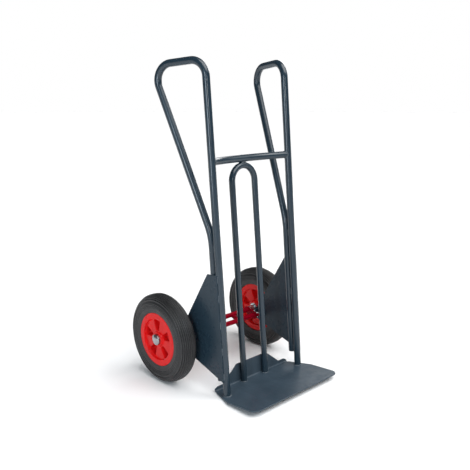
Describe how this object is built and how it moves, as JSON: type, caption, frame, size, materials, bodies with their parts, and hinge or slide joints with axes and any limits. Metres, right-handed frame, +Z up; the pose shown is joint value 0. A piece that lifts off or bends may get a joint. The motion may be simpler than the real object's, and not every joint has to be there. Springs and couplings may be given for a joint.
{
  "type": "hand truck",
  "caption": "Upright hand truck with a bent steel tube frame, looped grips, a pressed toe plate and bearing wheels on a sprung swing axle.",
  "frame": {"origin": "on the floor, under the centre of the bounding box, with the truck parked upright on the heel of its toe plate and on its tyres", "axes": "+Z up, the longest extent; +Y from the toe plate toward the wheels and the grips; +X to the right as seen from the front, facing the toe plate, and the left and right in node names are as seen from there"},
  "size_m": [0.6242, 0.6482, 1.2302],
  "materials": {
    "frame_coat": "satin anthracite powder coat",
    "cap_plastic": "matt, moulded",
    "axle_red": "gloss red paint",
    "spring_zinc": "bright zinc plate",
    "zinc": "bright zinc plate",
    "clip_steel": "blued spring steel",
    "bearing_steel": "ground and oiled",
    "tyre_rubber": "fine ribs, matt",
    "rim_red": "gloss, moulded",
    "hub_cap_zinc": "zinc plate, pressed"
  },
  "bodies": {
    "frame": {"left_side_tube": "frame_coat", "right_side_tube": "frame_coat", "cross_tube": "frame_coat", "center_hoop": "frame_coat", "toe_plate": "frame_coat", "left_side_plate": "frame_coat", "right_side_plate": "frame_coat", "lower_tube_caps": "cap_plastic", "swing_stop_pins": "frame_coat"},
    "swing_axle": {"pivot_bar": "axle_red", "axle": "axle_red", "left_link_plate": "axle_red", "right_link_plate": "axle_red", "bar_lugs": "axle_red", "left_return_spring": "spring_zinc", "right_return_spring": "spring_zinc", "pivot_washers": "zinc", "pivot_clips": "clip_steel", "axle_sleeves": "zinc", "axle_washers": "zinc", "axle_clips": "clip_steel", "bearing_inner_rings": "bearing_steel", "bearing_spacers": "bearing_steel"},
    "left_wheel": {"left_tyre": "tyre_rubber", "left_rim": "rim_red", "left_bearing_outer_rings": "bearing_steel", "left_bearing_balls": "bearing_steel", "left_hub_cap": "hub_cap_zinc"},
    "right_wheel": {"right_tyre": "tyre_rubber", "right_rim": "rim_red", "right_bearing_outer_rings": "bearing_steel", "right_bearing_balls": "bearing_steel", "right_hub_cap": "hub_cap_zinc"}
  },
  "joints": [
    {"name": "axle_swing", "type": "hinge", "parent": "frame", "child": "swing_axle", "pos_m": [0, 0.10818, 0.16056], "axis": [-1, 0, 0], "range_deg": [0, 35], "stiffness_Nm_per_rad": 9, "springref_deg": -51.57, "deforming": ["left_return_spring", "right_return_spring"]},
    {"name": "left_wheel_spin", "type": "hinge", "parent": "swing_axle", "child": "left_wheel", "pos_m": [-0.26715, 0.14911, 0.175], "axis": [1, 0, 0], "continuous": true},
    {"name": "right_wheel_spin", "type": "hinge", "parent": "swing_axle", "child": "right_wheel", "pos_m": [0.26715, 0.14911, 0.175], "axis": [1, 0, 0], "continuous": true}
  ]
}
